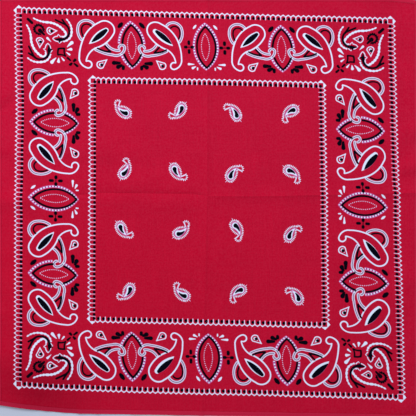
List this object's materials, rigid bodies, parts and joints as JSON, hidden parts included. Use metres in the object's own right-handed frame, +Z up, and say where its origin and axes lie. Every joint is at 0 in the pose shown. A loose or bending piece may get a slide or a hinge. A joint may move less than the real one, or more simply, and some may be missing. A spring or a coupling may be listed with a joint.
{
  "type": "bandana",
  "caption": "Hemmed square of printed cotton lying flat and face up, with pressed quarter folds, soft swells and turned hems.",
  "frame": {"origin": "on the surface that the cloth lies on, under the middle of the square", "axes": "+Z up, out of the printed face; +Y towards the upper hem; +X towards the right hem"},
  "size_m": [0.559, 0.5591, 0.0054],
  "materials": {
    "printed_cotton": "matt plain-weave red cotton, printed in white and black",
    "hem_cotton": "matt plain-weave red cotton, turned twice and stitched in red thread"
  },
  "bodies": {
    "root": {"panel": "printed_cotton", "hem_top": "hem_cotton", "hem_bottom": "hem_cotton", "hem_left": "hem_cotton", "hem_right": "hem_cotton"}
  },
  "joints": []
}
